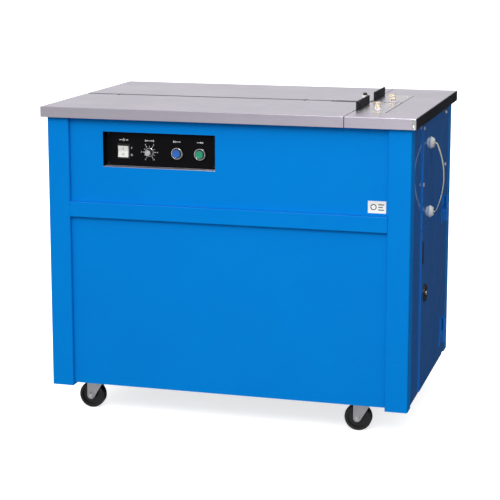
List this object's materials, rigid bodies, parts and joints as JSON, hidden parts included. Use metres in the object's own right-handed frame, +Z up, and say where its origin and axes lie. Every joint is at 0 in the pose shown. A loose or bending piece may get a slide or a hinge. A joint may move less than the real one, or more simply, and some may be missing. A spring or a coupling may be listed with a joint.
{
  "type": "semi automatic strapping machine",
  "caption": "Table-type semi-automatic strapping machine: blue sheet-metal cabinet on casters, brushed steel table, recessed controls, side strap loop.",
  "frame": {"origin": "on the floor, below the middle of the overall box, strap loop included", "axes": "+X to the right seen by the operator, along the long side of the table; -Y is the front with the controls; +Z up"},
  "size_m": [0.9184, 0.616, 0.771],
  "materials": {
    "blue_paint": "glossy powder coat",
    "stainless": "brushed lengthways",
    "black_steel": "satin",
    "zinc": "bright zinc plate",
    "black_wheel": "gloss",
    "cast_aluminium": "milled",
    "motor_paint": "satin",
    "tool_steel": "ground",
    "brass": "polished",
    "white_plastic": "gloss",
    "strap_plastic": "satin",
    "black_plastic": "satin",
    "blue_button": "gloss",
    "green_button": "gloss",
    "black_rubber": "matt",
    "grey_plastic": "satin"
  },
  "bodies": {
    "cabinet": {"base_frame": "blue_paint", "cable_gland": "black_plastic", "caster_plates": "zinc", "centre_rail": "black_steel", "control_box": "black_steel", "control_plate": "black_steel", "cover_screws": "zinc", "drive_belt": "black_rubber", "front_lower_panel": "blue_paint", "front_upper_panel": "blue_paint", "head_frame": "cast_aluminium", "head_plate_front": "stainless", "head_plate_rear": "stainless", "left_panel": "blue_paint", "mid_rail": "blue_paint", "motor": "motor_paint", "pool_box": "zinc", "post_front_left": "blue_paint", "post_front_right": "blue_paint", "post_rear_left": "blue_paint", "post_rear_right": "blue_paint", "rear_panel": "blue_paint", "reel_stand": "black_steel", "right_side_frame": "blue_paint", "side_cover": "blue_paint", "stop_plate_front": "black_steel", "stop_plate_rear": "black_steel", "strap_loop": "strap_plastic", "strap_nozzle_lower": "white_plastic", "strap_nozzle_upper": "white_plastic", "table_edge_trim": "black_steel", "table_end": "stainless", "top_frame": "blue_paint"},
    "front_lid": {"front_lid": "stainless"},
    "rear_lid": {"rear_lid": "stainless"},
    "side_door": {"side_door": "blue_paint"},
    "door_latch": {"door_latch": "black_plastic"},
    "power_switch": {"power_switch": "white_plastic"},
    "length_dial": {"length_dial": "black_plastic"},
    "reset_button": {"reset_button": "blue_button"},
    "feed_button": {"feed_button": "green_button"},
    "cross_knob_front": {"cross_knob_front": "brass"},
    "cross_knob_rear": {"cross_knob_rear": "brass"},
    "strap_reel": {"strap_reel": "grey_plastic", "strap_coil": "strap_plastic"},
    "cam_shaft": {"cam_shaft": "zinc"},
    "motor_pulley": {"motor_pulley": "zinc"},
    "feed_roller": {"feed_roller": "black_rubber"},
    "pressure_roller": {"pressure_roller": "black_rubber"},
    "slide_anvil": {"slide_anvil": "tool_steel"},
    "press_head": {"press_head": "tool_steel"},
    "heater_blade": {"heater_blade": "tool_steel"},
    "caster_fork_front_left": {"caster_fork_front_left": "zinc"},
    "caster_wheel_front_left": {"caster_wheel_front_left": "black_wheel"},
    "caster_fork_front_right": {"caster_fork_front_right": "zinc"},
    "caster_wheel_front_right": {"caster_wheel_front_right": "black_wheel"},
    "caster_fork_rear_left": {"caster_fork_rear_left": "zinc"},
    "caster_wheel_rear_left": {"caster_wheel_rear_left": "black_wheel"},
    "caster_fork_rear_right": {"caster_fork_rear_right": "zinc"},
    "caster_wheel_rear_right": {"caster_wheel_rear_right": "black_wheel"}
  },
  "joints": [
    {"name": "front_lid_hinge", "type": "hinge", "parent": "cabinet", "child": "front_lid", "pos_m": [-0.0117, -0.019, 0.7442], "axis": [-1, 0, 0], "range_deg": [0, 80]},
    {"name": "rear_lid_hinge", "type": "hinge", "parent": "cabinet", "child": "rear_lid", "pos_m": [-0.0117, 0.003, 0.7442], "axis": [1, 0, 0], "range_deg": [0, 80]},
    {"name": "side_door_hinge", "type": "hinge", "parent": "cabinet", "child": "side_door", "pos_m": [0.4303, 0.203, 0.272], "axis": [0, 0, 1], "range_deg": [0, 110]},
    {"name": "door_latch_turn", "type": "hinge", "parent": "side_door", "child": "door_latch", "pos_m": [0.4238, -0.102, 0.31], "axis": [1, 0, 0], "range_deg": [0, 90]},
    {"name": "power_switch_rock", "type": "hinge", "parent": "cabinet", "child": "power_switch", "pos_m": [-0.2667, -0.264, 0.645], "axis": [1, 0, 0], "range_deg": [-8, 8]},
    {"name": "length_dial_turn", "type": "hinge", "parent": "cabinet", "child": "length_dial", "pos_m": [-0.2027, -0.266, 0.645], "axis": [0, -1, 0], "range_deg": [-150, 150]},
    {"name": "reset_button_push", "type": "slide", "parent": "cabinet", "child": "reset_button", "axis": [0, 1, 0], "range_m": [0, 0.003], "stiffness_N_per_m": 300},
    {"name": "feed_button_push", "type": "slide", "parent": "cabinet", "child": "feed_button", "axis": [0, 1, 0], "range_m": [0, 0.003], "stiffness_N_per_m": 300},
    {"name": "cross_knob_front_turn", "type": "hinge", "parent": "cabinet", "child": "cross_knob_front", "pos_m": [0.3203, -0.165, 0.762], "axis": [0, -1, 0], "range_deg": [-180, 180]},
    {"name": "cross_knob_rear_turn", "type": "hinge", "parent": "cabinet", "child": "cross_knob_rear", "pos_m": [0.3223, 0.012, 0.762], "axis": [0, -1, 0], "range_deg": [-180, 180]},
    {"name": "strap_reel_spin", "type": "hinge", "parent": "cabinet", "child": "strap_reel", "pos_m": [0.2313, 0.0225, 0.262], "axis": [1, 0, 0], "continuous": true},
    {"name": "cam_shaft_spin", "type": "hinge", "parent": "cabinet", "child": "cam_shaft", "pos_m": [0.2683, -0.008, 0.672], "axis": [1, 0, 0], "continuous": true},
    {"name": "motor_pulley_spin", "type": "hinge", "parent": "cabinet", "child": "motor_pulley", "pos_m": [0.1643, 0.095, 0.6], "axis": [1, 0, 0], "continuous": true},
    {"name": "feed_roller_spin", "type": "hinge", "parent": "cabinet", "child": "feed_roller", "pos_m": [0.1083, -0.008, 0.64], "axis": [0, 1, 0], "continuous": true},
    {"name": "pressure_roller_spin", "type": "hinge", "parent": "cabinet", "child": "pressure_roller", "pos_m": [0.1083, -0.008, 0.681], "axis": [0, 1, 0], "continuous": true},
    {"name": "slide_anvil_slide", "type": "slide", "parent": "cabinet", "child": "slide_anvil", "axis": [0, 1, 0], "range_m": [0, 0.02]},
    {"name": "press_head_lift", "type": "slide", "parent": "cabinet", "child": "press_head", "axis": [0, 0, 1], "range_m": [0, 0.003]},
    {"name": "heater_blade_slide", "type": "slide", "parent": "cabinet", "child": "heater_blade", "axis": [0, -1, 0], "range_m": [0, 0.025]},
    {"name": "caster_swivel_front_left", "type": "hinge", "parent": "cabinet", "child": "caster_fork_front_left", "pos_m": [-0.3447, -0.23, 0.076], "axis": [0, 0, 1], "continuous": true},
    {"name": "caster_roll_front_left", "type": "hinge", "parent": "caster_fork_front_left", "child": "caster_wheel_front_left", "pos_m": [-0.3687, -0.23, 0.0325], "axis": [0, 1, 0], "continuous": true},
    {"name": "caster_swivel_front_right", "type": "hinge", "parent": "cabinet", "child": "caster_fork_front_right", "pos_m": [0.3213, -0.23, 0.076], "axis": [0, 0, 1], "continuous": true},
    {"name": "caster_roll_front_right", "type": "hinge", "parent": "caster_fork_front_right", "child": "caster_wheel_front_right", "pos_m": [0.2973, -0.23, 0.0325], "axis": [0, 1, 0], "continuous": true},
    {"name": "caster_swivel_rear_left", "type": "hinge", "parent": "cabinet", "child": "caster_fork_rear_left", "pos_m": [-0.3447, 0.23, 0.076], "axis": [0, 0, 1], "continuous": true},
    {"name": "caster_roll_rear_left", "type": "hinge", "parent": "caster_fork_rear_left", "child": "caster_wheel_rear_left", "pos_m": [-0.3687, 0.23, 0.0325], "axis": [0, 1, 0], "continuous": true},
    {"name": "caster_swivel_rear_right", "type": "hinge", "parent": "cabinet", "child": "caster_fork_rear_right", "pos_m": [0.3213, 0.23, 0.076], "axis": [0, 0, 1], "continuous": true},
    {"name": "caster_roll_rear_right", "type": "hinge", "parent": "caster_fork_rear_right", "child": "caster_wheel_rear_right", "pos_m": [0.2973, 0.23, 0.0325], "axis": [0, 1, 0], "continuous": true}
  ],
  "couplings": [
    {"joint": "motor_pulley_spin", "follows": "cam_shaft_spin", "ratio": 1.75},
    {"joint": "pressure_roller_spin", "follows": "feed_roller_spin", "ratio": -1.2222}
  ]
}
